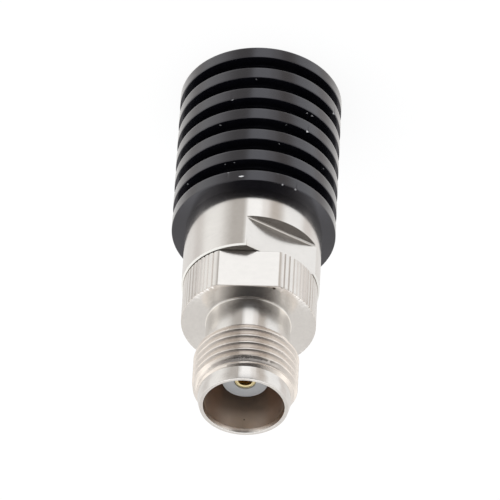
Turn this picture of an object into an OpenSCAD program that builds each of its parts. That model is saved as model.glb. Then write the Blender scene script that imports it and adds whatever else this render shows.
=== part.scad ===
// Coaxial termination: a rod resistor in a finned load body behind a threaded female connector.
// The axis is Z. The heat sink's rear face is z = 0 and the connector opens towards +Z.

/* [Heat sink] */
// Number of fins
fin_count = 7; // [7:1:9]
// Thickness of one fin
fin_t = 1.42; // [1.3:0.01:1.6]
// Distance from one fin to the next
fin_pitch = 2.905; // [2.905:0.005:3.2]
// Outside diameter of the fins
fin_d = 17.28; // [16.6:0.02:19]
// Diameter of the core between the fins
core_d = 12.8; // [12.4:0.1:14]
// Thickness of the closed rear end
sink_floor = 2.6; // [2:0.1:2.8]

/* [Load body] */
// Diameter of the body in front of the heat sink
body_d = 14.45; // [14.1:0.05:15]
// Length of the body in front of the heat sink
body_len = 7.6; // [7.2:0.05:9]
// Diameter of the tail screwed into the heat sink
tail_d = 10; // [9.6:0.1:10.4]
// Distance across the body's wrench flats
body_flats_w = 11.6; // [11.4:0.05:12.4]
// Length of the body's wrench flats, back from its front face
body_flats_len = 3.9; // [2:0.1:4.5]
// Turn of the body's wrench flats round the axis, in degrees
body_flats_turn = -29.8; // [-90:0.1:90]

/* [Connector shell] */
// Diameter of the knurled grip
grip_d = 14.06; // [13:0.02:14.4]
// Length of the knurled grip
grip_len = 4.73; // [4:0.01:6]
// Distance across the grip's wrench flats
grip_flats_w = 12.52; // [12:0.02:12.8]
// Turn of the grip's wrench flats round the axis, in degrees
grip_flats_turn = 3.1; // [-90:0.1:90]
// Teeth of the straight knurl round a full circle, of which the flats cut some away
knurl_count = 76; // [60:2:84]
// Depth of the knurl's grooves
knurl_depth = 0.11; // [0.08:0.01:0.14]
// Diameter of the neck between grip and thread
neck_d = 8.78; // [8.7:0.02:9.6]
// Length of the neck
neck_len = 3.58; // [3.2:0.01:4]
// Outside diameter of the coupling thread
thread_d = 10.94; // [10.9:0.01:11.1]
// Length of the coupling thread at its full diameter
thread_len = 3.96; // [3:0.01:5]
// Diameter of the plain pilot in front of the thread
pilot_d = 9.6; // [9.6:0.01:9.7]
// Distance from the front face back to the reference plane
ref_depth = 8.51; // [8.31:0.01:8.51]
// Diameter of the mouth's bore
mouth_d = 8.14; // [8.1:0.01:8.15]

/* [Contact and insulator] */
// Diameter of the front insulator in the mouth
insulator_d = 4.76; // [4.72:0.01:4.83]
// Height of the front insulator above the reference plane
insulator_rise = 5.26; // [4.78:0.02:5.28]
// Outside diameter of the contact
contact_d = 2.2; // [2.1:0.02:2.3]
// Diameter of the contact's socket
socket_d = 1.34; // [1.32:0.01:1.38]
// Depth of the contact's face below the insulator's face
contact_recess = 0.15; // [0:0.01:0.3]

/* [Resistor and earth stack] */
// Diameter of the resistor's ceramic rod
rod_d = 2; // [1.8:0.1:2.2]
// Length of the resistor over its end caps
resistor_len = 11.4; // [10:0.1:11.4]
// Diameter of the resistor's end caps
cap_d = 2.3; // [2.3:0.05:2.5]
// Impedance of the air line in ohms
line_ohm = 50; // [50:1:52]

/* [Hidden] */
$fn = 96;

// Small edge breaks, and how far cutters and bores run past what they cut
edge = 0.1;
body_edge = 0.13;
tail_edge = 0.3;
grip_edge = 0.06;
corner_r = 0.16;
over = 1;

// Places along the axis, from the rear face to the mouth
sink_len = fin_pitch * (fin_count - 1) + fin_t;
body_front = sink_len + body_len;
joint_gap = 0.1;
grip_rear = body_front + joint_gap;
grip_front = grip_rear + grip_len;
neck_front = grip_front + neck_len;
thread_rear = neck_front + (thread_d - neck_d) / 2;
thread_front = thread_rear + thread_len;
lead_len = 0.95;
pilot_len = 1.46;
pilot_rear = thread_front + lead_len;
lip = pilot_rear + pilot_len;
ref_plane = lip - ref_depth;

// The edges of the lip, outside and inside
lip_edge = 0.2;
mouth_edge = 0.11;
mouth_edge_len = 0.47;

// The knurl's grooves, which keep clear of the flats
knurl_turn = 2.06;
knurl_clear = 0.15;

// The shell's tail in the load body, and the bores behind the reference plane
shell_tail_d = 10;
shell_tail_len = 5.9;
shell_tail_rear = body_front - shell_tail_len;
joint_bore_depth = 6.15;
joint_bore_floor = body_front - joint_bore_depth;
boss_d = 11.2;
collar_d = 6;
collar_depth = 3;
collar_len = 3.6;
collar_front = ref_plane - collar_depth;
bead_front = collar_front - collar_len;
bead_t = 1.6;
bead_rear = bead_front - bead_t;
bead_d = 7.8;
stub_d = 1;
stub_len = 1.6;
spanner_slot_w = 0.8;
spanner_slot_depth = 0.6;

// The hood and tines of the contact
contact_front = ref_plane + insulator_rise - contact_recess;
hood_wall = 0.2;
hood_len = 5.6;
hood_lip = 0.4;
hood_bore_d = contact_d - 2 * hood_wall;
funnel = 0.15;
entry_clear = 0.03;
entry_r = socket_d / 2 + entry_clear;
tine_len = 4.4;
tine_gap = 0.04;
tine_slot = 0.2;
tine_set_back = 0.1;
tine_front = contact_front - hood_lip - tine_set_back;
tine_rear = tine_front - tine_len;
tine_root = 0.3;
socket_run_out = 0.2;

// The resistor, the line round it and the stack that earths it
air_line_constant = 59.94;
stack_d = 7.2;
cap_end = 0.4;
cap_len = 1.6;
resistor_stand_off = 0.1;
resistor_front = joint_bore_floor + resistor_stand_off;
resistor_rear = resistor_front - resistor_len;
line_rod_d = 2;
line_bore_d = line_rod_d * exp(line_ohm / air_line_constant);
taper_set_back = 0.2;
taper_clear = 0.1;
taper_rear = resistor_rear + cap_len + taper_set_back;
taper_rear_d = cap_d + taper_clear;
grip_socket_d = 2.9;
grip_socket_bottom = 0.5;
grip_slot_w = 0.24;
grip_slot_len = 0.9;
nose_len = 2.4;
nose_grip = 1;
nose_front = resistor_rear + nose_grip;
nose_rear = nose_front - nose_len;
nose_rear_d = 4.4;
nose_front_d = 3.6;
collet_t = 1.2;
collet_hole_d = 1.2;
collet_slot_w = 0.3;
collet_slot_root = 0.2;
spring_h = 0.8;
spring_t = 0.3;
spring_d = 6.9;
spring_bore_d = 3.4;
plug_t = 2.2;
plug_recess = 0.2;
plug_front = nose_rear - collet_t - spring_h;
tail_rear = plug_front - plug_t - plug_recess;
driver_slot_w = 1;
driver_slot_depth = 0.9;

// A solid of revolution that stays exact
module turned(outline) {
    rotate_extrude() polygon(outline);
}

// A plain round bore from z0 to z1
module bore(d, z0, z1) {
    translate([0, 0, z0]) cylinder(d = d, h = z1 - z0);
}

// A tube from z0 to z1
module tube(d, d_in, z0, z1) {
    difference() {
        bore(d, z0, z1);
        bore(d_in, z0 - over, z1 + over);
    }
}

// Slots of width w right across the axis, at the given turns, from z0 to z1
module cross_slots(reach, w, turns, z0, z1) {
    for (turn = turns)
        rotate([0, 0, turn])
            translate([-reach, -w / 2, z0])
                cube([2 * reach, w, z1 - z0]);
}

// A pair of opposed flats, width w apart, cut from z0 to z1. The inner corner at z0 is rounded.
module flats(w, turn, z0, z1, corner, reach) {
    side = [[-reach, z0], [-w / 2 - corner, z0],
            for (a = [75 : -15 : 15]) [-w / 2 - corner + corner * sin(90 - a), z0 + corner * (1 - sin(a))],
            [-w / 2, z0 + corner], [-w / 2, z1 + over], [-reach, z1 + over]];
    for (half = [0, 180])
        rotate([0, 0, turn + half])
            rotate([90, 0, 90])
                translate([0, 0, -reach])
                    linear_extrude(2 * reach) polygon(side);
}

// A pair of opposed flats over the whole grip
module grip_flats() {
    for (half = [0, 180])
        rotate([0, 0, grip_flats_turn + half])
            translate([-grip_d, grip_flats_w / 2, grip_rear - joint_gap / 2])
                cube([2 * grip_d, grip_d, grip_len + joint_gap]);
}

// The straight knurl: 90 degree grooves along the grip, left out where one would run into a flat
module knurl() {
    reach = 2 * knurl_depth;
    for (k = [0 : knurl_count - 1]) {
        turn = knurl_turn + k * 360 / knurl_count;
        height = grip_d / 2 * abs(sin(turn - grip_flats_turn));
        if (height < grip_flats_w / 2 - knurl_clear)
            rotate([0, 0, turn])
                translate([grip_d / 2 - knurl_depth, 0, grip_rear - over / 2])
                    linear_extrude(grip_len + over)
                        polygon([[0, 0], [reach, -reach], [reach, reach]]);
    }
}

// Seven square fins on a solid core, bored blind from the front for the body's tail
module heat_sink() {
    r = fin_d / 2;
    fins = [for (i = [0 : fin_count - 1]) let (z = i * fin_pitch)
                each [[core_d / 2, z], [r - edge, z], [r, z + edge],
                      [r, z + fin_t - edge], [r - edge, z + fin_t], [core_d / 2, z + fin_t]]];
    color([0.06, 0.06, 0.07])
        difference() {
            turned([[0, 0], each fins, [0, sink_len]]);
            bore(tail_d, sink_floor, sink_len + over);
        }
}

// Polished body with two wrench flats, a tail for the heat sink and a through bore for the stack
module load_body() {
    r = body_d / 2;
    tail_r = tail_d / 2;
    color([0.80, 0.79, 0.77])
        difference() {
            turned([[0, tail_rear], [tail_r - tail_edge, tail_rear], [tail_r, tail_rear + tail_edge],
                    [tail_r, sink_len], [r - edge, sink_len], [r, sink_len + edge],
                    [r, body_front - body_edge], [r - body_edge, body_front], [0, body_front]]);
            flats(body_flats_w, body_flats_turn, body_front - body_flats_len, body_front,
                  corner_r, body_d);
            bore(shell_tail_d, joint_bore_floor, body_front + over);
            bore(stack_d, tail_rear - over, joint_bore_floor + over);
        }
}

// One turned piece: tail, knurled grip with two flats, neck, thread at its major diameter, pilot and mouth
module connector_shell() {
    tail_r = shell_tail_d / 2;
    grip_r = grip_d / 2;
    neck_r = neck_d / 2;
    pilot_r = pilot_d / 2;
    color([0.78, 0.76, 0.73])
        difference() {
            turned([[0, shell_tail_rear], [tail_r - tail_edge, shell_tail_rear],
                    [tail_r, shell_tail_rear + tail_edge], [tail_r, body_front],
                    [boss_d / 2, body_front], [boss_d / 2, grip_rear],
                    [grip_r - grip_edge, grip_rear], [grip_r, grip_rear + grip_edge],
                    [grip_r, grip_front - grip_edge], [grip_r - grip_edge, grip_front],
                    [neck_r + corner_r, grip_front],
                    for (a = [75 : -15 : 15])
                        [neck_r + corner_r * (1 - cos(a)), grip_front + corner_r * (1 - sin(a))],
                    [neck_r, grip_front + corner_r], [neck_r, neck_front],
                    [thread_d / 2, thread_rear], [thread_d / 2, thread_front],
                    [pilot_r, pilot_rear], [pilot_r, lip - lip_edge],
                    [pilot_r - lip_edge, lip], [0, lip]]);
            grip_flats();
            knurl();
            bore(mouth_d, ref_plane, lip + over);
            turned([[0, lip - mouth_edge_len], [mouth_d / 2, lip - mouth_edge_len],
                    [mouth_d / 2 + mouth_edge, lip], [mouth_d / 2 + mouth_edge, lip + over],
                    [0, lip + over]]);
            bore(insulator_d, collar_front, ref_plane + over);
            bore(collar_d, bead_front, collar_front);
            bore(bead_d, shell_tail_rear - over, bead_front);
        }
}

// Dielectric in the mouth, held by a collar behind the reference plane
module front_insulator() {
    r = insulator_d / 2;
    face = ref_plane + insulator_rise;
    color([0.86, 0.88, 0.90])
        difference() {
            turned([[0, bead_front], [collar_d / 2, bead_front], [collar_d / 2, collar_front],
                    [r, collar_front], [r, face - edge], [r - edge, face], [0, face]]);
            bore(contact_d, bead_front - over, face + over);
        }
}

// Plain sleeve pushed over the socket, with the entry funnel in its lip
module contact_hood() {
    r = contact_d / 2;
    hood_rear = contact_front - hood_len;
    color([0.93, 0.76, 0.42])
        difference() {
            turned([[0, hood_rear], [r, hood_rear],
                    [r, contact_front - edge], [r - edge, contact_front], [0, contact_front]]);
            bore(hood_bore_d, hood_rear - over, contact_front - hood_lip);
            bore(2 * entry_r, contact_front - hood_lip - over, contact_front + over);
            turned([[0, contact_front - funnel], [entry_r, contact_front - funnel],
                    [entry_r + funnel, contact_front], [entry_r + funnel, contact_front + over],
                    [0, contact_front + over]]);
        }
}

// Socket with four tines, a shoulder on the bead and a screwed stub through it
module socket_contact() {
    hood_rear = contact_front - hood_len;
    color([0.90, 0.72, 0.38])
        difference() {
            union() {
                bore(stub_d, bead_rear - stub_len, bead_front + edge);
                bore(contact_d, bead_front, hood_rear);
                bore(hood_bore_d, hood_rear - edge, tine_rear + tine_root);
                bore(hood_bore_d - 2 * tine_gap, tine_rear, tine_front);
            }
            bore(socket_d, tine_rear - socket_run_out, tine_front + over);
            cross_slots(contact_d, tine_slot, [45, 135], tine_rear + tine_root, tine_front + over);
        }
}

// Stiff bead that carries the centre line
module support_bead() {
    color([0.90, 0.86, 0.74])
        tube(bead_d, stub_d, bead_rear, bead_front);
}

// Screwed bush that clamps the bead and is the outer wall of the air line
module bead_bush() {
    color([0.80, 0.68, 0.38])
        difference() {
            tube(bead_d, line_bore_d, shell_tail_rear, bead_rear);
            cross_slots(bead_d, spanner_slot_w, [0], shell_tail_rear - over,
                        shell_tail_rear + spanner_slot_depth);
        }
}

// Centre conductor: screwed on the contact's stub, with a slotted socket for the resistor's cap
module centre_rod() {
    sleeve_rear = resistor_front - cap_len + cap_end;
    color([0.88, 0.70, 0.36])
        difference() {
            union() {
                bore(line_rod_d, resistor_front, bead_rear);
                bore(grip_socket_d, sleeve_rear, resistor_front + grip_socket_bottom);
            }
            bore(cap_d, sleeve_rear - over, resistor_front);
            bore(stub_d, bead_rear - stub_len - edge, bead_rear + over);
            cross_slots(grip_socket_d, grip_slot_w, [0, 90], sleeve_rear - over,
                        sleeve_rear + grip_slot_len);
        }
}

// Plated cup on one end of the resistor's rod, open towards the rod
module end_cap(z_end, away) {
    inner = [min(z_end - away * cap_end, z_end - away * (cap_len + over)),
             max(z_end - away * cap_end, z_end - away * (cap_len + over))];
    outer = [min(z_end, z_end - away * cap_len), max(z_end, z_end - away * cap_len)];
    difference() {
        bore(cap_d, outer[0], outer[1]);
        bore(rod_d, inner[0], inner[1]);
    }
}

module resistor_front_cap() {
    color([0.82, 0.83, 0.84]) end_cap(resistor_front, 1);
}

module resistor_rod() {
    color([0.25, 0.22, 0.20])
        bore(rod_d, resistor_rear + cap_end, resistor_front - cap_end);
}

module resistor_rear_cap() {
    color([0.82, 0.83, 0.84]) end_cap(resistor_rear, -1);
}

// Sleeve whose bore narrows so that the line's impedance falls evenly along the resistor.
// A cone at its rear seats the collet.
module matching_sleeve() {
    steps = 16;
    growth = ln(line_bore_d / taper_rear_d);
    taper = [for (i = [0 : steps]) let (t = i / steps)
                [taper_rear_d / 2 * exp(growth * t), taper_rear + (joint_bore_floor - taper_rear) * t]];
    color([0.78, 0.50, 0.32])
        difference() {
            bore(stack_d, nose_rear, joint_bore_floor);
            turned([[0, nose_rear - over], [nose_rear_d / 2, nose_rear - over],
                    [nose_rear_d / 2, nose_rear], [nose_front_d / 2, nose_front],
                    [taper_rear_d / 2, nose_front], each taper,
                    [line_bore_d / 2, joint_bore_floor + over], [0, joint_bore_floor + over]]);
        }
}

// Slotted collet: its tapered nose is squeezed by the sleeve's cone onto the rear cap
module ground_collet() {
    flange_rear = nose_rear - collet_t;
    color([0.80, 0.68, 0.38])
        difference() {
            turned([[0, flange_rear], [stack_d / 2, flange_rear], [stack_d / 2, nose_rear],
                    [nose_rear_d / 2, nose_rear], [nose_front_d / 2, nose_front], [0, nose_front]]);
            bore(cap_d, resistor_rear, nose_front + over);
            bore(collet_hole_d, flange_rear - over, resistor_rear + over);
            cross_slots(nose_rear_d, collet_slot_w, [0, 90], nose_rear + collet_slot_root,
                        nose_front + over);
        }
}

// Conical disc spring between plug and collet
module disc_spring() {
    color([0.55, 0.56, 0.58])
        turned([[spring_bore_d / 2, plug_front + spring_h - spring_t],
                [spring_bore_d / 2, plug_front + spring_h],
                [spring_d / 2, plug_front + spring_t], [spring_d / 2, plug_front]]);
}

// Screw plug with a driver slot, which presses the stack together from the rear
module end_plug() {
    plug_rear = plug_front - plug_t;
    color([0.80, 0.68, 0.38])
        difference() {
            bore(stack_d, plug_rear, plug_front);
            cross_slots(stack_d, driver_slot_w, [0], plug_rear - over, plug_rear + driver_slot_depth);
        }
}

heat_sink();
load_body();
connector_shell();
front_insulator();
contact_hood();
socket_contact();
support_bead();
bead_bush();
centre_rod();
resistor_front_cap();
resistor_rod();
resistor_rear_cap();
matching_sleeve();
ground_collet();
disc_spring();
end_plug();
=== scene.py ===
"""Coaxial termination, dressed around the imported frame. Lengths are millimetres until a mesh is made."""
import math
import random

import bmesh
import bpy
import numpy as np
from mathutils import Matrix, Vector


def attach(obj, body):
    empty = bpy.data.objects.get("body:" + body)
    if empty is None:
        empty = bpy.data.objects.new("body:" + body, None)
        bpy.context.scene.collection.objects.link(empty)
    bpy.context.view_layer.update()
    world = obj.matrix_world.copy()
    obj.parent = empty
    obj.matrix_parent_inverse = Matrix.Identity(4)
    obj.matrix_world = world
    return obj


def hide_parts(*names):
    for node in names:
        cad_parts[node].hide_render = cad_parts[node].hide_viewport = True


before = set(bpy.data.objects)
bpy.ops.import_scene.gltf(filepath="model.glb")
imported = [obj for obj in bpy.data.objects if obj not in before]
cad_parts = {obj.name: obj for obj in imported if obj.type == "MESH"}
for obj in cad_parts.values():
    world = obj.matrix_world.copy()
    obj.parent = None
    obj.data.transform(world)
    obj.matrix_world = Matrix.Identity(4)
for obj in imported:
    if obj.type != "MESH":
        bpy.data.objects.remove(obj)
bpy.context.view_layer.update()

MM, WELD = 0.001, 0.0008
TAU = 2 * math.pi

# Heat sink, from its rear face at z = 0
FIN_COUNT, FIN_T, FIN_PITCH, FIN_R = 7, 1.42, 2.905, 8.64
FIN_EDGE, FIN_ROOT, FIN_RING = 0.07, 0.12, 0.25
CORE_R, SINK_FLOOR = 6.4, 2.6
SINK_FRONT = FIN_PITCH * (FIN_COUNT - 1) + FIN_T

# Load body
BODY_R, BODY_LEN, BODY_EDGE, BODY_REAR_EDGE = 7.225, 7.6, 0.16, 0.08
BODY_FLAT, BODY_FLAT_LEN, BODY_FLAT_TURN, BODY_FLAT_EDGE = 5.8, 3.9, 29.8, 0.05
TAIL_R, TAIL_EDGE, STACK_R, BODY_TAIL_REAR = 5.0, 0.3, 3.6, 3.2
JOINT_DEPTH, CORNER_R = 6.15, 0.16
BODY_FRONT = SINK_FRONT + BODY_LEN
BODY_FLAT_REAR = BODY_FRONT - BODY_FLAT_LEN
JOINT_FLOOR = BODY_FRONT - JOINT_DEPTH

# Connector shell: grip and tail
JOINT_GAP, GRIP_R, GRIP_LEN, GRIP_EDGE = 0.1, 7.03, 4.73, 0.06
GRIP_FLAT, GRIP_FLAT_TURN, GRIP_FLAT_EDGE = 6.26, -3.1, 0.04
CORNER_TURN, CORNER_BLUNT = 0.45, 0.014
KNURL_COUNT, KNURL_TURN, KNURL_DEPTH, KNURL_CLEAR = 76, 2.06, 0.11, 0.15
# Below, the second value is the groove depth past which the knurl's faces get steel darkened with painted
# shade
KNURL_SLIP, SHADED_GROOVE_DEPTH = 0.42, 0.03
FACE_R, BOSS_R, SHELL_TAIL_LEN = 6.1, 5.6, 5.9
GRIP_REAR = BODY_FRONT + JOINT_GAP
GRIP_FRONT = GRIP_REAR + GRIP_LEN
SHELL_TAIL_REAR = BODY_FRONT - SHELL_TAIL_LEN

# Connector shell: neck, thread, pilot and mouth
NECK_R, NECK_LEN = 4.39, 3.58
THREAD_R, ROOT_R, THREAD_PITCH, THREAD_LEN, CREST_SHIFT = 5.47, 4.95, 0.907, 3.96, 0.37
PILOT_R, LEAD_LEN, PILOT_LEN = 4.80, 0.95, 1.46
LIP_EDGE, LIP_SLOPE, LIP_BEND, LIP_ROUND = 0.2, 0.71, 1.6, 0.05
MOUTH_R, RIM_R, REF_DEPTH = 4.07, 4.22, 8.51
BEVEL_LEN, BEVEL_ROUND, MOUTH_ROUND = 0.43, 0.25, 0.08
NECK_FRONT = GRIP_FRONT + NECK_LEN
THREAD_REAR = NECK_FRONT + THREAD_R - NECK_R
THREAD_FRONT = THREAD_REAR + THREAD_LEN
PILOT_REAR = THREAD_FRONT + LEAD_LEN
LIP = PILOT_REAR + PILOT_LEN
REF_PLANE = LIP - REF_DEPTH

# Insulator, bead and contact
COLLAR_R, COLLAR_DEPTH, COLLAR_LEN, BEAD_R = 3.0, 3.0, 3.6, 3.9
INSULATOR_R, INSULATOR_RISE, INSULATOR_EDGE, INSULATOR_BORE_EDGE = 2.38, 5.26, 0.13, 0.05
CONTACT_R, CONTACT_RECESS, SOCKET_R, ENTRY_CLEAR = 1.10, 0.15, 0.67, 0.03
HOOD_WALL, HOOD_LEN, HOOD_LIP, HOOD_EDGE, HOOD_FINE_EDGE = 0.2, 5.6, 0.4, 0.07, 0.05
COLLAR_FRONT = REF_PLANE - COLLAR_DEPTH
BEAD_FRONT = COLLAR_FRONT - COLLAR_LEN
INSULATOR_FACE = REF_PLANE + INSULATOR_RISE
CONTACT_FACE = INSULATOR_FACE - CONTACT_RECESS

# Heights of rings that only keep long faces short, and the radius of one on the grip's front face
BODY_RINGS = [SINK_FRONT + up for up in (1.35, 2.55)]
BODY_FLAT_RINGS = [BODY_FLAT_REAR + up for up in (1.45, 2.65)]
GRIP_RINGS = [GRIP_FRONT - down for down in (1.08, 2.38, 3.68)]
NECK_RINGS = [NECK_FRONT - down for down in (1.26, 2.46)]
FACE_RING_R = 5.4

# Places of the metals on the body and on the shell. The joint's metal and the grip's darker one carry painted
# shade, the edge's pale one a painted highlight
BODY_METAL, SHADED_JOINT_METAL, HIGHLIGHT_EDGE_METAL = range(3)
SHELL_METAL, THREAD_METAL, BORE_METAL, SHADED_GRIP_METAL = range(4)


def turn_of(azimuth):
    """Angle round the axis, counted from +X, of a picture azimuth, counted from -Y towards -X."""
    return math.radians(-90 - azimuth)


# Meshes

def rounded(corners, steps=4):
    """A profile of (r, z, radius) corners as (r, z) points, each corner turned into an arc."""
    out = []
    for i, (r, z, radius) in enumerate(corners):
        p = Vector((r, z))
        if radius == 0:
            out.append((r, z))
            continue
        a = (Vector(corners[i - 1][:2]) - p).normalized()
        b = (Vector(corners[(i + 1) % len(corners)][:2]) - p).normalized()
        half = math.acos(max(-1, min(1, a.dot(b)))) / 2
        centre = p + (a + b).normalized() * (radius / math.sin(half))
        start = p + a * (radius / math.tan(half)) - centre
        end = p + b * (radius / math.tan(half)) - centre
        whole = start.angle(end)
        for k in range(steps + 1):
            t = k / steps
            v = (start * math.sin((1 - t) * whole) + end * math.sin(t * whole)) / math.sin(whole)
            out.append(tuple(centre + v))
    return out


def quarter(steps=6):
    """What a corner of radius 1 leaves out along its quarter turn, as pairs from one side to the other."""
    angles = [math.radians(90 * k / steps) for k in range(steps + 1)]
    return [(1 - math.cos(a), 1 - math.sin(a)) for a in angles]


def circle(count):
    """Evenly spaced turns, without the last one at 360 degrees."""
    return [TAU * i / count for i in range(count)]


def patch(bm, radii, heights, turns, material=0):
    """Adds rows of points round the axis, and the faces between them.
    The last turn is the first plus 360 degrees. The material is one index, or a list with one a column."""
    columns = [material] * len(turns) if isinstance(material, int) else material
    grid = []
    for row_r, row_z in zip(radii, heights):
        grid.append([bm.verts.new((r * math.cos(t) * MM, r * math.sin(t) * MM, z * MM))
                     for r, z, t in zip(row_r, row_z, turns)])
    for a, b in zip(grid, grid[1:]):
        for j in range(len(turns) - 1):
            bm.faces.new((a[j], a[j + 1], b[j + 1], b[j])).material_index = columns[j]


def plain_rows(profile, turns):
    """A profile of (r, z) points as rows of equal radius and height."""
    return ([[r] * len(turns) for r, _ in profile], [[z] * len(turns) for _, z in profile])


def finish_mesh(bm, name, sharp=30):
    """Welds the patches and makes one closed smooth-shaded object of them."""
    bmesh.ops.remove_doubles(bm, verts=bm.verts, dist=WELD * MM)
    loose = [v for v in bm.verts if not v.link_faces]
    bmesh.ops.delete(bm, geom=loose, context="VERTS")
    bmesh.ops.recalc_face_normals(bm, faces=bm.faces)
    mesh = bpy.data.meshes.new(name)
    bm.to_mesh(mesh)
    bm.free()
    mesh.shade_smooth()
    mesh.set_sharp_from_angle(angle=math.radians(sharp))
    obj = bpy.data.objects.new(name, mesh)
    bpy.context.scene.collection.objects.link(obj)
    return obj


def lathe(name, corners, count):
    """A solid of revolution from a closed profile of (r, z, radius) corners."""
    profile = rounded(corners)
    turns = circle(count) + [TAU]
    bm = bmesh.new()
    patch(bm, *plain_rows(profile + profile[:1], turns), turns)
    return finish_mesh(bm, name)


def flat_radius(distance, middle, turn):
    """Radius of a pair of opposed flats at a turn, which is large away from them."""
    c = abs(math.cos(turn - middle))
    return distance / c if c > 0.05 else 1e3


def joined_turns(*lists):
    """One sorted list of turns from several, with near doubles left out, closed at 360 degrees."""
    out = []
    for t in sorted(x % TAU for many in lists for x in many):
        if not out or t - out[-1] > 1e-4:
            out.append(t)
    return out + [out[0] + TAU]


def press_dent(chip, radii, heights, turns):
    """Lowers the fins' rows a little round a chip at an edge, and leaves the core alone."""
    height = 0.2
    for row_r, row_z in zip(radii, heights):
        for j, t in enumerate(turns):
            if row_r[j] < CORE_R + 0.5:
                break
            arc = math.remainder(t - turn_of(chip["azimuth"]), TAU) * FIN_R
            away = math.hypot(arc / chip["half"][0], (row_z[j] - chip["z"]) / height)
            if away < 1:
                row_r[j] -= chip["dent"] * (1 - away * away)


def build_heat_sink(chips):
    """Finned heat sink. The chips' places get closer columns, and small dents at the fins' edges."""
    corners = [(0, 0, 0)]
    for i in range(FIN_COUNT):
        rear = i * FIN_PITCH
        front = rear + FIN_T
        if i:
            corners.append((CORE_R, rear, FIN_ROOT))
        corners += [(FIN_R, rear, FIN_EDGE), (FIN_R, rear + FIN_RING, 0)]
        corners += [(FIN_R, front - FIN_RING, 0), (FIN_R, front, FIN_EDGE)]
        if i < FIN_COUNT - 1:
            corners.append((CORE_R, front, FIN_ROOT))
    corners += [(TAIL_R, SINK_FRONT, 0), (TAIL_R, SINK_FLOOR, 0), (0, SINK_FLOOR, 0)]
    profile = rounded(corners, 3)
    dented = [c for c in chips if c["dent"]]
    step = 0.28
    near = [turn_of(c["azimuth"]) + math.radians(step * k) for c in dented for k in range(-7, 8)]
    turns = joined_turns(circle(300), near)
    radii, heights = plain_rows(profile, turns)
    for c in dented:
        press_dent(c, radii, heights, turns)
    bm = bmesh.new()
    patch(bm, radii, heights, turns)
    return finish_mesh(bm, "heat_sink_finned")


def body_turns(middle):
    """Turns of the body's columns, closer at the edges of its flats and of their rounded corners."""
    edges = []
    for side in (0, math.pi):
        for depth in (BODY_FLAT, BODY_FLAT + CORNER_R):
            half = math.acos(depth / BODY_R)
            for degrees in (-1, -0.5, -0.2, 0, 0.2):
                away = half + math.radians(degrees)
                edges += [middle + side - away, middle + side + away]
    return joined_turns(circle(360), edges)


def build_body():
    """Load body with two wrench flats, a rounded corner under each flat's wall and a broken front edge."""
    middle = turn_of(BODY_FLAT_TURN)
    turns = body_turns(middle)
    shoulder = rounded([(TAIL_R, SINK_FRONT, 0), (BODY_R, SINK_FRONT, BODY_REAR_EDGE),
                        (BODY_R, BODY_FRONT, 0)], 3)[1:-1]
    rows = [(STACK_R, JOINT_FLOOR, None), (STACK_R, BODY_TAIL_REAR, None)]
    rows += [(TAIL_R - TAIL_EDGE, BODY_TAIL_REAR, None), (TAIL_R, BODY_TAIL_REAR + TAIL_EDGE, None)]
    rows += [(TAIL_R, SINK_FRONT, None)]
    rows += [(r, z, None) for r, z in shoulder]
    rows += [(BODY_R, z, None) for z in (*BODY_RINGS, BODY_FLAT_REAR)]
    rows += [(BODY_R, BODY_FLAT_REAR + CORNER_R * up, BODY_FLAT + CORNER_R * out) for up, out in quarter()]
    rows += [(BODY_R, z, BODY_FLAT) for z in (*BODY_FLAT_RINGS, BODY_FRONT - BODY_EDGE)]
    face = len(rows)
    rows += [(BODY_R - BODY_EDGE, BODY_FRONT, BODY_FLAT - BODY_FLAT_EDGE)]
    rows += [(TAIL_R, BODY_FRONT, None), (TAIL_R, JOINT_FLOOR, None), (STACK_R, JOINT_FLOOR, None)]
    radii = [[r if flat is None else min(r, flat_radius(flat, middle, t)) for t in turns]
             for r, _, flat in rows]
    heights = [[z] * len(turns) for _, z, _ in rows]
    # Where it is round, the broken front edge gets a pale matt surface: a painted highlight
    edge = []
    for a, b in zip(turns, turns[1:]):
        on_round = flat_radius(BODY_FLAT, middle, (a + b) / 2) > BODY_R - 0.1
        edge.append(HIGHLIGHT_EDGE_METAL if on_round else BODY_METAL)
    bm = bmesh.new()
    patch(bm, radii[:face], heights[:face], turns, BODY_METAL)
    patch(bm, radii[face - 1:face + 1], heights[face - 1:face + 1], turns, edge)
    # The front face inside the joint gets steel darkened with painted shade
    patch(bm, radii[face:], heights[face:], turns, SHADED_JOINT_METAL)
    return finish_mesh(bm, "load_body_polished", 24)


def knurl_columns(rng, middle):
    """Turns and depths of the straight knurl: a V groove a tooth, none near the flats, and uneven lands.
    The grooves right of the near flat stand out of step with the others."""
    groove_lip, groove_floor, land_wear, land_parts = 0.008, 0.12, 0.007, (0.36, 0.5, 0.64)
    step = TAU / KNURL_COUNT
    columns = []
    for k in range(KNURL_COUNT):
        groove = math.radians(KNURL_TURN) + (k + rng.uniform(-0.05, 0.05)) * step
        right_of_flat = turn_of(170) < groove - TAU < turn_of(10)
        if right_of_flat:
            groove += KNURL_SLIP * step
        if GRIP_R * abs(math.cos(groove - middle)) < GRIP_FLAT - KNURL_CLEAR:
            depth = KNURL_DEPTH * rng.uniform(0.8, 1.0)
            half = depth / GRIP_R
            columns += [(groove + s * half, groove_lip) for s in (-1, 1)]
            columns += [(groove + s * half * groove_floor, depth) for s in (-1, 1)]
        columns += [(groove + step * part, rng.uniform(0, land_wear)) for part in land_parts]
    columns = sorted((t % TAU, depth) for t, depth in columns)
    return [t for t, _ in columns], [depth for _, depth in columns]


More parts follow.
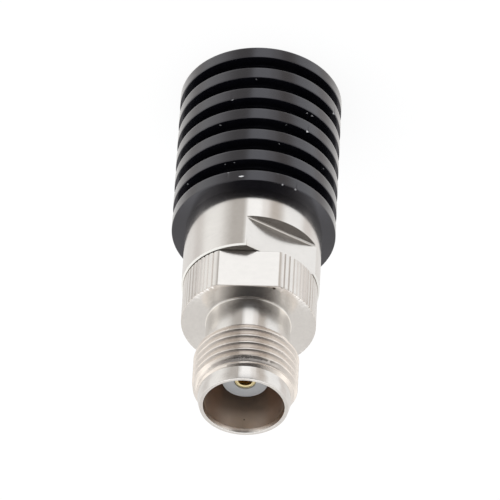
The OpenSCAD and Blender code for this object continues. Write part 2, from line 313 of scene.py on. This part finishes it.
def shell_columns(middle):
    """Turns of the shell's columns with each one's groove depth and blunting, and each face's metal."""
    knurl_t, knurl_d = knurl_columns(random.Random(7), middle)
    half = math.acos(GRIP_FLAT / GRIP_R)
    corner = math.radians(CORNER_TURN)
    edges = [middle + side + s * half + d
             for side in (0, math.pi) for s in (-1, 1) for d in (-corner, 0, corner)]
    turns = joined_turns(knurl_t, edges)
    middles = [(a + b) / 2 % TAU for a, b in zip(turns, turns[1:])]
    grooves = np.interp([t % TAU for t in turns], knurl_t, knurl_d, period=TAU)
    between = np.interp(middles, knurl_t, knurl_d, period=TAU)
    # Deep groove faces get the darker steel: painted shade in the grooves
    metals = [SHADED_GRIP_METAL if depth > SHADED_GROOVE_DEPTH else SHELL_METAL for depth in between]
    blunt = []
    for t in turns:
        away = abs(abs(math.remainder(t - middle, math.pi)) - half)
        blunt.append(CORNER_BLUNT * max(0, 1 - away / corner))
    return turns, grooves, blunt, metals


def add_neck(bm, turns):
    """From the neck's front end backwards over its fillet to the grip's front face."""
    rows = [(NECK_R, z) for z in (NECK_FRONT, *NECK_RINGS)]
    rows += [(NECK_R + CORNER_R * out, GRIP_FRONT + CORNER_R * up) for out, up in quarter()]
    rows += [(FACE_RING_R, GRIP_FRONT), (FACE_R, GRIP_FRONT)]
    patch(bm, *plain_rows(rows, turns), turns, SHELL_METAL)


def add_grip(bm, turns, middle, grooves, blunt, metals):
    """The grip, whose grooves run out through its end faces and fade at the front rim."""
    fade = {0: 0.4, 30: 0.55, 60: 0.8, 90: 1.0}
    rim = []
    for angle, cut in fade.items():
        a = math.radians(angle)
        inward = 1 - math.sin(a)
        rim.append((GRIP_R - GRIP_EDGE * inward, GRIP_FRONT - GRIP_EDGE * (1 - math.cos(a)),
                    GRIP_FLAT - GRIP_FLAT_EDGE * inward, cut))
    rows = [(FACE_R, GRIP_FRONT, None, 0)] + rim + [(GRIP_R, z, GRIP_FLAT, 1) for z in GRIP_RINGS]
    rows += [(r, GRIP_REAR + GRIP_FRONT - z, flat, 1) for r, z, flat, _ in reversed(rim)]
    rows.append((FACE_R, GRIP_REAR, None, 0))
    radii, heights = [], []
    for r, z, flat, cut in rows:
        heights.append([z] * len(turns))
        if flat is None:
            radii.append([r] * len(turns))
        else:
            radii.append([min(r, GRIP_R - g * cut, flat_radius(flat, middle, t)) - b
                          for t, g, b in zip(turns, grooves, blunt)])
    rim_end = len(rim) + 1
    patch(bm, radii[:2], heights[:2], turns, SHELL_METAL)
    # The front rim gets the same darker steel: painted shade that tones down its highlight
    patch(bm, radii[1:rim_end], heights[1:rim_end], turns, SHADED_GRIP_METAL)
    patch(bm, radii[rim_end - 1:-1], heights[rim_end - 1:-1], turns, metals)
    patch(bm, radii[-2:], heights[-2:], turns, SHELL_METAL)


def add_tail(bm, turns):
    """From the grip's rear face over the tail, then forwards through the bores."""
    rows = [(FACE_R, GRIP_REAR), (BOSS_R, GRIP_REAR), (BOSS_R, BODY_FRONT), (TAIL_R, BODY_FRONT),
            (TAIL_R, SHELL_TAIL_REAR + TAIL_EDGE), (TAIL_R - TAIL_EDGE, SHELL_TAIL_REAR),
            (BEAD_R, SHELL_TAIL_REAR), (BEAD_R, BEAD_FRONT), (COLLAR_R, BEAD_FRONT),
            (COLLAR_R, COLLAR_FRONT), (INSULATOR_R, COLLAR_FRONT), (INSULATOR_R, REF_PLANE)]
    patch(bm, *plain_rows(rows, turns), turns, SHELL_METAL)


def thread_profile():
    """Points (s, depth) along one pitch of a 60 degree thread with rounded crest and root, from the crest."""
    half_crest, crest_round, root_round = 0.01, 0.14, 0.03
    flank, slope = math.radians(60), math.tan(math.radians(30))
    depth = THREAD_R - ROOT_R
    points = [(0.0, 0.0), (half_crest, 0.0)]
    for a in (math.radians(degrees) for degrees in (15, 30, 45, 60)):
        points.append((half_crest + crest_round * math.sin(a), crest_round * (1 - math.cos(a))))
    s0, d0 = points[-1]
    d1 = depth - root_round * (1 - math.cos(flank))
    s1 = s0 + (d1 - d0) * slope
    points += [((s0 + s1) / 2, (d0 + d1) / 2), (s1, d1)]
    for a in (math.radians(degrees) for degrees in (40, 20, 0)):
        points.append((s1 + root_round * (math.sin(flank) - math.sin(a)),
                       depth - root_round * (1 - math.cos(a))))
    rising = [(THREAD_PITCH - s, d) for s, d in reversed(points[1:])]
    return points + rising


def blank_radius(z):
    """Radius of the shell before its thread is cut."""
    return np.interp(z, [NECK_FRONT, THREAD_REAR, THREAD_FRONT, PILOT_REAR],
                     [NECK_R, THREAD_R, THREAD_R, PILOT_R])


def add_thread(bm, turns):
    """The right-handed helical thread, cut from the blank between neck and pilot."""
    profile = thread_profile()
    crest = THREAD_REAR + CREST_SHIFT
    lines = [(crest + k * THREAD_PITCH + s, d) for k in range(-4, 7) for s, d in profile]
    radii, heights = [], []
    for start, depth in lines:
        row_r, row_z = [], []
        for t in turns:
            z = start + THREAD_PITCH * (t + math.pi / 2) / TAU
            z = min(max(z, NECK_FRONT), PILOT_REAR)
            cut = THREAD_R - depth if NECK_FRONT < z < PILOT_REAR else math.inf
            row_z.append(z)
            row_r.append(float(min(blank_radius(z), cut)))
        radii.append(row_r)
        heights.append(row_z)
    patch(bm, radii, heights, turns, THREAD_METAL)


def add_mouth(bm, turns):
    """Pilot, lip with its bevel, and the mouth's bore down to the reference plane."""
    mouth = rounded([(PILOT_R, PILOT_REAR, 0), (PILOT_R, LIP - LIP_SLOPE, LIP_BEND),
                     (PILOT_R - LIP_EDGE, LIP, LIP_ROUND), (RIM_R, LIP, LIP_ROUND),
                     (MOUTH_R, LIP - BEVEL_LEN, BEVEL_ROUND), (MOUTH_R, REF_PLANE, MOUTH_ROUND),
                     (INSULATOR_R, REF_PLANE, 0)], 5)
    bore = next(i for i, (r, _) in enumerate(mouth) if r < MOUTH_R + 0.002)
    patch(bm, *plain_rows(mouth[:bore + 1], turns), turns, SHELL_METAL)
    patch(bm, *plain_rows(mouth[bore:], turns), turns, BORE_METAL)


def build_shell():
    """Connector shell: knurled grip with two flats, tail, neck, helical thread, pilot and mouth."""
    middle = turn_of(GRIP_FLAT_TURN)
    turns, grooves, blunt, metals = shell_columns(middle)
    bm = bmesh.new()
    add_neck(bm, turns)
    add_grip(bm, turns, middle, grooves, blunt, metals)
    add_tail(bm, turns)
    add_thread(bm, turns)
    add_mouth(bm, turns)
    return finish_mesh(bm, "connector_shell_knurled", 24)


def build_insulator():
    """Pale insulator with the collar that holds it behind the reference plane."""
    return lathe("front_insulator_turned", [
        (CONTACT_R, BEAD_FRONT, 0), (COLLAR_R, BEAD_FRONT, 0), (COLLAR_R, COLLAR_FRONT, 0),
        (INSULATOR_R, COLLAR_FRONT, 0), (INSULATOR_R, INSULATOR_FACE, INSULATOR_EDGE),
        (CONTACT_R, INSULATOR_FACE, INSULATOR_BORE_EDGE)], 192)


def build_hood():
    """Plain sleeve of the contact, with a lip round its entry."""
    rear = CONTACT_FACE - HOOD_LEN
    lip_rear = CONTACT_FACE - HOOD_LIP
    inner = CONTACT_R - HOOD_WALL
    entry = SOCKET_R + ENTRY_CLEAR
    return lathe("contact_hood_rounded", [
        (inner, rear, 0), (CONTACT_R, rear, HOOD_FINE_EDGE), (CONTACT_R, CONTACT_FACE, HOOD_EDGE),
        (entry, CONTACT_FACE, HOOD_FINE_EDGE), (entry, lip_rear, 0), (inner, lip_rear, 0)], 128)


# Node helpers

def shader(tree, kind, sockets=None, **props):
    """Adds a node. A socket's value is a number, a colour or another node's output."""
    n = tree.nodes.new(kind)
    for key, value in props.items():
        setattr(n, key, value)
    for key, value in (sockets or {}).items():
        if isinstance(value, bpy.types.NodeSocket):
            tree.links.new(value, n.inputs[key])
        else:
            n.inputs[key].default_value = value
    return n


def calc(tree, operation, a, b=0.0, c=0.0):
    """A sum or another operation on numbers."""
    return shader(tree, "ShaderNodeMath", {0: a, 1: b, 2: c}, operation=operation).outputs[0]


def vector(tree, operation, a, b=(0.0, 0.0, 0.0)):
    """An operation on vectors that gives a vector."""
    return shader(tree, "ShaderNodeVectorMath", {0: a, 1: b}, operation=operation).outputs[0]


def scaled(tree, a, factor):
    """A vector times a number."""
    return shader(tree, "ShaderNodeVectorMath", {0: a, "Scale": factor}, operation="SCALE").outputs[0]


def length(tree, a):
    """A vector's length."""
    return shader(tree, "ShaderNodeVectorMath", {0: a}, operation="LENGTH").outputs["Value"]


def ramp(tree, value, low, high, to_low=0.0, to_high=1.0, smooth=True):
    """The value taken from low..high to to_low..to_high, clamped."""
    return shader(tree, "ShaderNodeMapRange",
                  {"Value": value, "From Min": low, "From Max": high, "To Min": to_low, "To Max": to_high},
                  interpolation_type="SMOOTHSTEP" if smooth else "LINEAR", clamp=True).outputs["Result"]


def blend(tree, factor, a, b):
    """Colour a at factor 0 and b at 1."""
    n = shader(tree, "ShaderNodeMix", {"Factor": factor}, data_type="RGBA")
    for socket, value in ((n.inputs[6], a), (n.inputs[7], b)):
        if isinstance(value, bpy.types.NodeSocket):
            tree.links.new(value, socket)
        else:
            socket.default_value = (*value, 1)
    return n.outputs[2]


def millimetres(tree):
    """Place on the object in millimetres."""
    return scaled(tree, shader(tree, "ShaderNodeTexCoord").outputs["Object"], 1 / MM)


def noise(tree, place, scale, detail=2.0, roughness=0.5):
    """Noise at a place, from 0 to 1."""
    return shader(tree, "ShaderNodeTexNoise",
                  {"Vector": place, "Scale": scale, "Detail": detail, "Roughness": roughness}).outputs["Fac"]


def lathe_space(tree, place, around, along):
    """Coordinates that change fast along the axis or a radius, and slowly round the axis."""
    height = shader(tree, "ShaderNodeSeparateXYZ", {0: place}).outputs[2]
    across = vector(tree, "MULTIPLY", place, (1, 1, 0))
    unit = shader(tree, "ShaderNodeSeparateXYZ", {0: vector(tree, "NORMALIZE", across)})
    lengthwise = calc(tree, "MULTIPLY_ADD", length(tree, across), 0.9, height)
    return shader(tree, "ShaderNodeCombineXYZ",
                  {0: calc(tree, "MULTIPLY", unit.outputs[0], around),
                   1: calc(tree, "MULTIPLY", unit.outputs[1], around),
                   2: calc(tree, "MULTIPLY", lengthwise, along)}).outputs[0]


def finish_of(name):
    """A new material with its node tree and its surface node."""
    m = bpy.data.materials.new(name)
    m.use_nodes = True
    return m, m.node_tree, m.node_tree.nodes["Principled BSDF"]


def add_marks(tree, bsdf, height, depth):
    """Marks of a depth in millimetres, from a height between 0 and 1."""
    bump = shader(tree, "ShaderNodeBump", {"Height": height, "Distance": depth * MM, "Strength": 1.0})
    tree.links.new(bump.outputs["Normal"], bsdf.inputs["Normal"])


def spot_mask(tree, place, spots):
    """1 inside small ragged patches with an azimuth, radius, height and half sizes along, in and up."""
    ragged = shader(tree, "ShaderNodeTexNoise", {"Vector": place, "Scale": 6.0, "Detail": 3.0})
    shift = scaled(tree, vector(tree, "SUBTRACT", ragged.outputs["Color"], (0.5, 0.5, 0.5)), 0.22)
    moved = vector(tree, "ADD", place, shift)
    mask = None
    for s in spots:
        t = turn_of(s["azimuth"])
        spot = {"Vector": moved, "Location": (s["r"] * math.cos(t), s["r"] * math.sin(t), s["z"]),
                "Rotation": (0, 0, t + math.pi / 2), "Scale": s["half"]}
        near = shader(tree, "ShaderNodeMapping", spot, vector_type="TEXTURE").outputs[0]
        one = ramp(tree, length(tree, near), 0.75, 1.1, s.get("strength", 1), 0.0)
        mask = one if mask is None else calc(tree, "MAXIMUM", mask, one)
    return mask


# Finishes

def turned_metal(name, colour, rough, marks, along=9.0, stretch=0.0, spots=()):
    """Metal with fine marks round the axis, gloss drawn out across them and, if given, small dark spots."""
    m, tree, bsdf = finish_of(name)
    place = millimetres(tree)
    fine = noise(tree, lathe_space(tree, place, 2.5, along), scale=1.0, detail=4.0, roughness=0.65)
    broad = noise(tree, place, scale=0.55)
    smudge = noise(tree, place, scale=2.3, detail=4.0, roughness=0.6)
    shade = calc(tree, "MULTIPLY_ADD", fine, 0.3, calc(tree, "MULTIPLY", broad, 0.3))
    shade = calc(tree, "MULTIPLY_ADD", smudge, 0.4, shade)
    tone = blend(tree, shade, tuple(c * 0.87 for c in colour), tuple(min(1, c * 1.11) for c in colour))
    if spots:
        tone = blend(tree, spot_mask(tree, place, spots), tone, (0.1, 0.07, 0.05))
    tree.links.new(tone, bsdf.inputs["Base Color"])
    gloss = calc(tree, "MULTIPLY_ADD", smudge, 0.5, calc(tree, "MULTIPLY", fine, 0.5))
    uneven = ramp(tree, gloss, 0.25, 0.75, rough * 0.75, rough * 1.3, smooth=False)
    tree.links.new(uneven, bsdf.inputs["Roughness"])
    add_marks(tree, bsdf, fine, marks)
    bsdf.inputs["Metallic"].default_value = 1.0
    if stretch:
        around = shader(tree, "ShaderNodeTangent", direction_type="RADIAL", axis="Z")
        tree.links.new(around.outputs["Tangent"], bsdf.inputs["Tangent"])
        bsdf.inputs["Anisotropic"].default_value = stretch
        bsdf.inputs["Anisotropic Rotation"].default_value = 0.25
    return m


def anodised(chips):
    """Black anodised aluminium: a dark clear oxide over lathe marks, chipped to bare metal at a few edges."""
    m, tree, bsdf = finish_of("anodised_black")
    place = millimetres(tree)
    fine = noise(tree, lathe_space(tree, place, 3.0, 11.0), scale=1.0, detail=3.0, roughness=0.6)
    cloud = noise(tree, place, scale=0.8, detail=3.0)
    chipped = spot_mask(tree, place, chips)
    black = blend(tree, cloud, (0.0015, 0.0015, 0.0025), (0.004, 0.004, 0.006))
    tree.links.new(blend(tree, chipped, black, (0.86, 0.86, 0.87)), bsdf.inputs["Base Color"])
    gloss = calc(tree, "MULTIPLY_ADD", cloud, 0.4, calc(tree, "MULTIPLY", fine, 0.6))
    tree.links.new(ramp(tree, gloss, 0.3, 0.7, 0.13, 0.22, smooth=False), bsdf.inputs["Roughness"])
    add_marks(tree, bsdf, fine, 0.0016)
    bsdf.inputs["IOR"].default_value = 1.5
    bsdf.inputs["Coat Weight"].default_value = 0.9
    bsdf.inputs["Coat IOR"].default_value = 1.5
    bsdf.inputs["Coat Roughness"].default_value = 0.16
    bsdf.inputs["Specular Tint"].default_value = (0.82, 0.82, 1.0, 1.0)
    bsdf.inputs["Sheen Weight"].default_value = 0.05
    bsdf.inputs["Sheen Roughness"].default_value = 0.3
    return m


def pale_solid(name, low, high, rough, grain, marks, translucent=0.0):
    """Plain surface: two near tones mixed by noise, fine cutting marks and uneven gloss."""
    m, tree, bsdf = finish_of(name)
    place = millimetres(tree)
    cloud = noise(tree, place, grain, detail=4.0)
    fine = noise(tree, lathe_space(tree, place, 1.5, 7.0), scale=1.0, detail=3.0)
    tree.links.new(blend(tree, cloud, low, high), bsdf.inputs["Base Color"])
    uneven = ramp(tree, fine, 0.3, 0.7, rough * 0.85, rough * 1.15, smooth=False)
    tree.links.new(uneven, bsdf.inputs["Roughness"])
    add_marks(tree, bsdf, fine, marks)
    if translucent:
        bsdf.inputs["Subsurface Weight"].default_value = translucent
        bsdf.inputs["Subsurface Radius"].default_value = (1.0, 1.0, 1.0)
        bsdf.inputs["Subsurface Scale"].default_value = 0.3 * MM
    return m


# Wear seen in the picture

FACE_INSET = 0.34


def chip(fin, azimuth, half, place="front", dent=0.0, strength=1.0):
    """A chip on a fin: on its front or rear edge, in the middle of its rim, or on its front face."""
    z = fin * FIN_PITCH + {"front": FIN_T, "rear": 0.0, "rim": 0.6 * FIN_T, "face": FIN_T}[place]
    r = FIN_R - (FACE_INSET if place == "face" else 0.0)
    return {"azimuth": azimuth, "r": r, "z": z, "half": half, "dent": dent, "strength": strength}


CHIPS = [
    chip(6, -11, (0.30, 0.2, 0.08), "rim"),
    chip(6, -20.5, (0.14, 0.2, 0.10), "rear", 0.05),
    chip(6, 18.5, (0.12, 0.2, 0.09), "front", 0.05, 0.38),
    chip(6, 28.5, (0.12, 0.2, 0.08), "front", 0.05, 0.36),
    chip(6, 14.5, (0.10, 0.2, 0.07), "rear", 0.03, 0.5),
    chip(3, 36.0, (0.16, 0.16, 0.14), "front", 0.07, 0.75),
    chip(1, 65.0, (0.16, 0.2, 0.10), "front", 0.06, 0.5),
    chip(1, -4.5, (0.08, 0.10, 0.06), "face", 0.0, 0.22),
    chip(2, -21.0, (0.22, 0.12, 0.07), "front", 0.02, 0.25),
    chip(2, 41.0, (0.12, 0.10, 0.07), "face", 0.0, 0.45),
    chip(2, 36.5, (0.09, 0.10, 0.07), "face", 0.0, 0.4),
    chip(3, 17.5, (0.09, 0.12, 0.06), "rear", 0.0, 0.4),
    chip(3, -30.0, (0.12, 0.10, 0.07), "face", 0.0, 0.3),
    chip(3, 19.5, (0.07, 0.08, 0.05), "face", 0.0, 0.25),
    chip(4, 15.0, (0.07, 0.08, 0.05), "face", 0.0, 0.25),
    chip(4, 57.0, (0.09, 0.10, 0.06), "face", 0.0, 0.3),
    chip(5, -17.0, (0.08, 0.08, 0.05), "face", 0.0, 0.25),
    chip(5, -24.0, (0.08, 0.08, 0.05), "face", 0.0, 0.27),
    chip(5, -60.0, (0.10, 0.10, 0.06), "face", 0.0, 0.35),
]
SHELL_SPOTS = [
    {"azimuth": 22.0, "r": GRIP_FLAT + 0.25, "z": GRIP_FRONT, "half": (0.20, 0.15, 0.10)},
    {"azimuth": 28.0, "r": GRIP_R - 0.05, "z": GRIP_FRONT, "half": (0.24, 0.10, 0.10), "strength": 0.7},
]
BORE_SPOTS = [{"azimuth": 178.0, "r": MOUTH_R, "z": LIP - 1.61, "half": (0.10, 0.10, 0.10)}]

# Pieces

STEEL = (0.82, 0.80, 0.775)
shell_metal = turned_metal("steel_turned", STEEL, 0.17, 0.001, stretch=0.8, spots=SHELL_SPOTS)
thread_metal = turned_metal("steel_thread", (0.86, 0.81, 0.765), 0.24, 0.0015, stretch=0.8)
bore_metal = turned_metal("steel_bore", (0.78, 0.645, 0.54), 0.36, 0.0015, stretch=0.7, spots=BORE_SPOTS)
# Steel darkened with painted shade, for the knurl's grooves and the grip's front rim
shaded_grip_metal = turned_metal("steel_grip_painted_shade", (0.74, 0.70, 0.66), 0.3, 0.001)
body_metal = turned_metal("steel_polished", STEEL, 0.13, 0.0004, along=6.0, stretch=0.8)
# Steel darkened with painted shade, for the body's front face inside the joint
shaded_joint_metal = turned_metal("steel_painted_joint_shade", (0.60, 0.56, 0.52), 0.35, 0.001)
# Pale matt surface for the body's front edge: a painted highlight
highlight_edge_metal = pale_solid("painted_highlight_edge", (0.90, 0.88, 0.83), (0.95, 0.93, 0.88), 0.4, 1.0, 0.001)
gold = turned_metal("gold_plate", (1.0, 0.82, 0.48), 0.32, 0.0008)
# Gold darkened with painted shade, for the socket deep inside the contact
gold_painted_shade = turned_metal("gold_socket_painted_shade", (0.95, 0.64, 0.26), 0.35, 0.0008)
ptfe = pale_solid("dielectric_pale", (0.36, 0.37, 0.38), (0.41, 0.42, 0.43), 0.4, 1.2, 0.002, 0.15)


def dress(piece, node, slot, *metals):
    """Gives a piece its metals, attaches it to the root and hides the node it replaces. The slot is not used.
    """
    for metal in metals:
        piece.data.materials.append(metal)
    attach(piece, "root")
    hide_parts(node)


dress(build_heat_sink(CHIPS), "heat_sink", "black_anodised", anodised(CHIPS))
dress(build_body(), "load_body", "polished_steel", body_metal, shaded_joint_metal, highlight_edge_metal)
dress(build_shell(), "connector_shell", "shell_steel", shell_metal, thread_metal, bore_metal, shaded_grip_metal)
dress(build_insulator(), "front_insulator", "white_dielectric", ptfe)
dress(build_hood(), "contact_hood", "gold_plate", gold)

brass = turned_metal("brass_turned", (0.80, 0.62, 0.30), 0.22, 0.0015)
silver = turned_metal("cap_plate", (0.85, 0.86, 0.87), 0.2, 0.0008)
copper = turned_metal("copper_turned", (0.80, 0.46, 0.30), 0.2, 0.0012)
spring = turned_metal("spring_steel", (0.50, 0.51, 0.53), 0.3, 0.001)
bead = pale_solid("bead_plastic", (0.80, 0.74, 0.60), (0.86, 0.81, 0.69), 0.45, 2.0, 0.002)
ceramic = pale_solid("resistor_film", (0.045, 0.038, 0.033), (0.08, 0.068, 0.06), 0.5, 5.0, 0.002)
for node_name, metal in {
        "socket_contact": gold_painted_shade, "centre_rod": gold, "support_bead": bead, "bead_bush": brass,
        "resistor_front_cap": silver, "resistor_rear_cap": silver, "resistor_rod": ceramic,
        "matching_sleeve": copper, "ground_collet": brass, "disc_spring": spring, "end_plug": brass}.items():
    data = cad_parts[node_name].data
    data.materials.clear()
    data.materials.append(metal)


# Studio

def build_floor():
    """White floor that keeps the object's shadow. Reflections see the world's lower half in its place."""
    reach = 3000 * MM
    mesh = bpy.data.meshes.new("floor")
    mesh.from_pydata([(-reach, -reach, 0), (reach, -reach, 0), (reach, reach, 0), (-reach, reach, 0)],
                     [], [(0, 1, 2, 3)])
    floor = bpy.data.objects.new("floor", mesh)
    bpy.context.scene.collection.objects.link(floor)
    m = bpy.data.materials.new("floor_white")
    m.use_nodes = True
    tree = m.node_tree
    tree.nodes.clear()
    path = shader(tree, "ShaderNodeLightPath")
    shown = calc(tree, "MAXIMUM", path.outputs["Is Camera Ray"], path.outputs["Is Transmission Ray"])
    plain = shader(tree, "ShaderNodeBsdfDiffuse", {"Color": (0.82, 0.82, 0.82, 1)})
    glow = shader(tree, "ShaderNodeEmission", {"Color": (1, 1, 1, 1), "Strength": 0.86})
    faint = shader(tree, "ShaderNodeBsdfDiffuse", {"Color": (0.16, 0.16, 0.16, 1)})
    white = shader(tree, "ShaderNodeAddShader", {0: glow.outputs[0], 1: faint.outputs[0]})
    mix = shader(tree, "ShaderNodeMixShader", {0: shown, 1: plain.outputs[0], 2: white.outputs[0]})
    shader(tree, "ShaderNodeOutputMaterial", {"Surface": mix.outputs[0]})
    floor.data.materials.append(m)
    floor.visible_glossy = False


# What reflections see: the pale floor and its cards by middle azimuth, half width, softness, tint and level
FLOOR_TONE = (0.84, 0.82, 0.80)
FLOOR_CARDS = [
    (-102, 6, 16, (1.0, 0.96, 0.93), 0.74),
    (-75, 6, 22, (1.0, 0.99, 0.97), 0.97),
    (102, 5, 14, (1.0, 0.95, 0.92), 0.77),
    (68, 12, 18, (1.0, 1.0, 1.0), 1.0),
    (-27, 6, 26, (1.0, 0.95, 0.90), 0.54),
    (32, 4, 22, (1.0, 0.92, 0.85), 0.60),
    (12, 6, 14, (1.0, 0.97, 0.95), 0.93),
    (-1, 8, 10, (1.0, 1.0, 1.0), 1.13),
]

# The room above it with its dark camera side and deep middle, its cards, and the light on matt surfaces
ROOM, DARK, DEEP = (0.76, 0.74, 0.72), (0.105, 0.095, 0.088), (0.045, 0.042, 0.042)
GREY_ALOFT, OVERHEAD = (0.42, 0.41, 0.40), (1.8, 1.8, 1.8)
LOW_BAND, SIDE_CARD = (1.2, 1.17, 1.12), (1.35, 1.31, 1.25)
SOFT_LIGHT = (0.85, 0.86, 0.87)


def ramp_degrees(tree, angle, low, high, to_low=0.0, to_high=1.0):
    """Like ramp, between two angles in degrees."""
    return ramp(tree, angle, math.radians(low), math.radians(high), to_low, to_high)


def toward(tree, way, azimuth, rise, outer, inner, smooth=True):
    """1 for directions within the inner angle of an azimuth and elevation, and 0 past the outer one."""
    turn, lift = turn_of(azimuth), math.radians(rise)
    middle = (math.cos(turn) * math.cos(lift), math.sin(turn) * math.cos(lift), math.sin(lift))
    node = shader(tree, "ShaderNodeVectorMath", {0: way, 1: middle}, operation="DOT_PRODUCT")
    edges = (math.cos(math.radians(outer)), math.cos(math.radians(inner)))
    return ramp(tree, node.outputs["Value"], *edges, smooth=smooth)


def toward_both(tree, way, azimuth, rise, outer, inner):
    """Like toward, at both sides of the picture's middle."""
    return calc(tree, "MAXIMUM", toward(tree, way, -azimuth, rise, outer, inner),
                toward(tree, way, azimuth, rise, outer, inner))


def lower_half(tree, azimuth):
    """Pale floor with soft cards on it."""
    colour = FLOOR_TONE
    for middle, half, soft, tint, level in FLOOR_CARDS:
        away = calc(tree, "ABSOLUTE", calc(tree, "SUBTRACT", azimuth, math.radians(middle)))
        near = ramp_degrees(tree, away, half, half + soft, 1.0, 0.0)
        colour = blend(tree, near, colour, tuple(level * c for c in tint))
    return colour


def upper_half(tree, way, azimuth, rise):
    """Soft room, dark at the camera's side, with pale cards low at the sides and a bright one overhead."""
    camera_side = toward(tree, way, azimuth=6, rise=54, outer=66, inner=34, smooth=False)
    low_right = toward(tree, way, azimuth=26, rise=16, outer=26, inner=14)
    low_middle = toward(tree, way, azimuth=2, rise=6, outer=30, inner=12)
    dark = calc(tree, "MULTIPLY", ramp_degrees(tree, rise, 7, 15),
                calc(tree, "MAXIMUM", camera_side, low_right))
    colour = blend(tree, calc(tree, "MAXIMUM", dark, low_middle), ROOM, DARK)
    aloft = toward_both(tree, way, azimuth=128, rise=60, outer=24, inner=8)
    colour = blend(tree, aloft, colour, GREY_ALOFT)
    colour = blend(tree, toward(tree, way, azimuth=3, rise=55, outer=34, inner=19), colour, DEEP)
    low = calc(tree, "MULTIPLY", ramp_degrees(tree, rise, 1, 5), ramp_degrees(tree, rise, 16, 26, 1.0, 0.0))
    aside = ramp_degrees(tree, calc(tree, "ABSOLUTE", azimuth), 24, 44)
    colour = blend(tree, calc(tree, "MULTIPLY", low, aside), colour, LOW_BAND)
    sides = toward_both(tree, way, azimuth=98, rise=22, outer=17, inner=9)
    colour = blend(tree, sides, colour, SIDE_CARD)
    widened = vector(tree, "NORMALIZE", vector(tree, "MULTIPLY", way, (0.75, 1, 1)))
    overhead = toward(tree, widened, azimuth=180, rise=73, outer=30, inner=12)
    return blend(tree, overhead, colour, OVERHEAD)


def build_world():
    """Soft even light, with the room's cards for reflections only and plain white for the camera."""
    world = bpy.data.worlds.new("studio")
    bpy.context.scene.world = world
    world.use_nodes = True
    tree = world.node_tree
    tree.nodes.clear()
    way = shader(tree, "ShaderNodeTexCoord").outputs["Generated"]
    x, y, z = shader(tree, "ShaderNodeSeparateXYZ", {0: way}).outputs
    azimuth = calc(tree, "ARCTAN2", calc(tree, "MULTIPLY", x, -1.0), calc(tree, "MULTIPLY", y, -1.0))
    rise = calc(tree, "ARCSINE", z)
    seen = blend(tree, ramp_degrees(tree, rise, -3, 3),
                 lower_half(tree, azimuth), upper_half(tree, way, azimuth, rise))
    path = shader(tree, "ShaderNodeLightPath")
    soft_light = blend(tree, path.outputs["Is Glossy Ray"], SOFT_LIGHT, seen)
    white = calc(tree, "MAXIMUM", path.outputs["Is Camera Ray"], path.outputs["Is Transmission Ray"])
    colour = blend(tree, white, soft_light, (1, 1, 1))
    back = shader(tree, "ShaderNodeBackground", {"Color": colour, "Strength": 1.0})
    shader(tree, "ShaderNodeOutputWorld", {"Surface": back.outputs[0]})


def build_lamp():
    """One large soft lamp overhead, its size and places in metres."""
    light = bpy.data.lights.new("overhead", "AREA")
    light.shape = "SQUARE"
    light.size = 0.4
    light.energy = 0.7
    lamp = bpy.data.objects.new("overhead", light)
    lamp.location = (0.12, -0.10, 0.5)
    lamp.rotation_euler = (Vector((0, 0, 0.03)) - lamp.location).to_track_quat("-Z", "Y").to_euler()
    lamp.visible_glossy = False
    lamp.visible_camera = False
    bpy.context.scene.collection.objects.link(lamp)


def build_camera():
    """Long lens above the mouth's side, rolled so that the heat sink is at the picture's top."""
    target, distance, elevation, roll = Vector((0.28, 0, 21.02)), 630.2, 40.83, 183.3
    data = bpy.data.cameras.new("camera")
    data.sensor_width, data.lens = 36.0, 432.17
    data.clip_start, data.clip_end = 0.05, 20.0
    camera = bpy.data.objects.new("camera", data)
    e = math.radians(elevation)
    back = Vector((0, -math.cos(e), math.sin(e)))
    upright = Matrix(((1, 0, 0), (0, math.sin(e), math.cos(e)), back)).transposed()
    turn = upright @ Matrix.Rotation(math.radians(roll), 3, "Z")
    camera.matrix_world = Matrix.Translation((target + back * distance) * MM) @ turn.to_4x4()
    bpy.context.scene.collection.objects.link(camera)
    bpy.context.scene.camera = camera


build_floor()
build_world()
build_lamp()
build_camera()
bpy.context.scene.view_settings.view_transform = "Standard"
